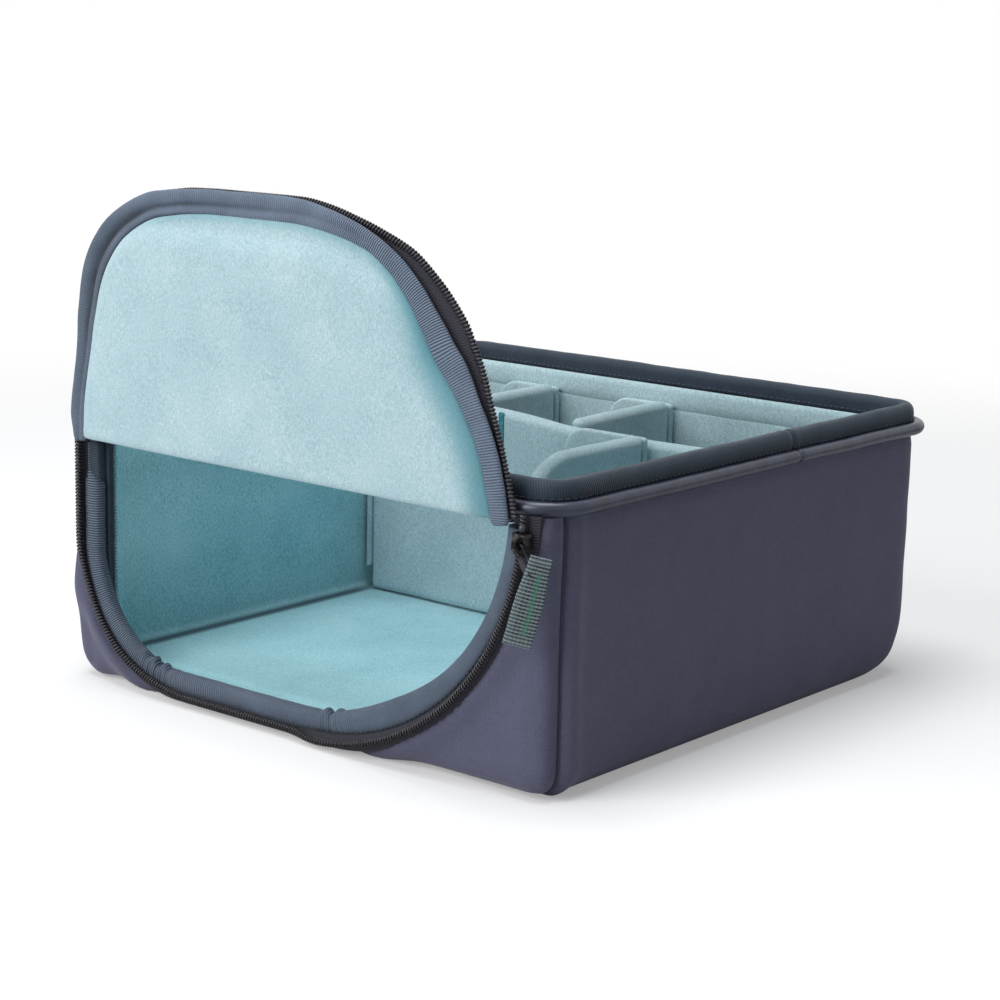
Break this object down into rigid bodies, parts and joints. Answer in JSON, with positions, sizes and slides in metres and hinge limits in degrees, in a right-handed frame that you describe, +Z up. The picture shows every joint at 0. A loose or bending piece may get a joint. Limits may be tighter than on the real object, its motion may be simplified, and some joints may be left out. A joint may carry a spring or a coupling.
{
  "type": "camera bag insert",
  "caption": "Padded open-topped camera insert with lift-out dividers and a zipped end opening whose padded flap folds up on a fabric hinge.",
  "frame": {"origin": "centre of the flat underside of the box, where it rests", "axes": "+Z up; -Y towards the end wall with the side opening and its flap; +X towards the slider's parked end of the zip"},
  "size_m": [0.2912, 0.302, 0.2237],
  "materials": {
    "outer_fabric": "plain woven polyester with a fine grain, dark plum navy",
    "foam": "closed-cell foam board, matte grey",
    "lining": "brushed loop fabric, soft matte teal",
    "binding": "ribbed grosgrain tape, slate blue",
    "piping": "smooth coated piping with a soft gloss",
    "zip_tape": "fine herringbone zip tape, near black",
    "zip_coil": "black nylon coil with a dull gloss",
    "hook_strip": "short stiff hook tape, dark teal",
    "gunmetal": "black nickel, worn bright on its edges",
    "woven_tab": "open woven grey-green webbing with one green stripe"
  },
  "bodies": {
    "box": {"base_outer": "outer_fabric", "base_foam": "foam", "base_lining": "lining", "front_outer": "outer_fabric", "front_foam": "foam", "front_lining": "lining", "outer_wrap": "outer_fabric", "right_foam": "foam", "left_foam": "foam", "back_foam": "foam", "lining_wrap": "lining", "corner_binding_left": "binding", "corner_binding_right": "binding", "rim_piping": "piping", "rim_seam_tape": "zip_tape", "rim_facing": "lining", "rim_binding": "binding", "opening_binding": "binding", "opening_zip_tape": "zip_tape", "opening_zip_coil": "zip_coil", "zip_stop_left": "zip_coil", "zip_stop_right": "zip_coil", "flap_hinge_tape": "outer_fabric"},
    "flap": {"flap_outer": "outer_fabric", "flap_foam": "foam", "flap_lining": "lining", "flap_binding": "binding", "flap_zip_tape": "zip_tape", "flap_zip_coil": "zip_coil", "flap_fold": "outer_fabric"},
    "slider": {"slider_body": "gunmetal"},
    "link": {"pull_link": "gunmetal"},
    "pull": {"pull_loop": "zip_tape", "pull_tab": "woven_tab"},
    "cross": {"cross_divider": "lining", "cross_tab_left": "lining", "cross_tab_right": "lining", "cross_hook_left": "hook_strip", "cross_hook_right": "hook_strip"},
    "lens": {"lens_divider": "lining", "lens_tab": "lining", "lens_hook": "hook_strip"},
    "rear_right": {"rear_right_divider": "lining", "rear_right_tab": "lining", "rear_right_hook": "hook_strip"},
    "rear_left": {"rear_left_divider": "lining", "rear_left_tab": "lining", "rear_left_hook": "hook_strip"}
  },
  "joints": [
    {"name": "flap_fold_hinge", "type": "hinge", "parent": "box", "child": "flap", "pos_m": [0, -0.147, 0.1145], "axis": [1, 0, 0], "range_deg": [0, 180]},
    {"name": "slider_run", "type": "hinge", "parent": "box", "child": "slider", "pos_m": [0.012, -0.1467, 0.1195], "axis": [0, 1, 0], "range_deg": [0, 76]},
    {"name": "link_swing", "type": "hinge", "parent": "slider", "child": "link", "pos_m": [0.12922, -0.15015, 0.10689], "axis": [-0.9943, 0, 0.107], "range_deg": [0, 110]},
    {"name": "pull_swing", "type": "hinge", "parent": "link", "child": "pull", "pos_m": [0.13236, -0.15015, 0.10052], "axis": [-0.9563, 0, 0.2924], "range_deg": [0, 45]},
    {"name": "cross_lift", "type": "slide", "parent": "box", "child": "cross", "axis": [0, 0, 1], "range_m": [0, 0.125]},
    {"name": "lens_lift", "type": "slide", "parent": "box", "child": "lens", "axis": [0, 0, 1], "range_m": [0, 0.125]},
    {"name": "rear_right_lift", "type": "slide", "parent": "box", "child": "rear_right", "axis": [0, 0, 1], "range_m": [0, 0.125]},
    {"name": "rear_left_lift", "type": "slide", "parent": "box", "child": "rear_left", "axis": [0, 0, 1], "range_m": [0, 0.125]}
  ]
}
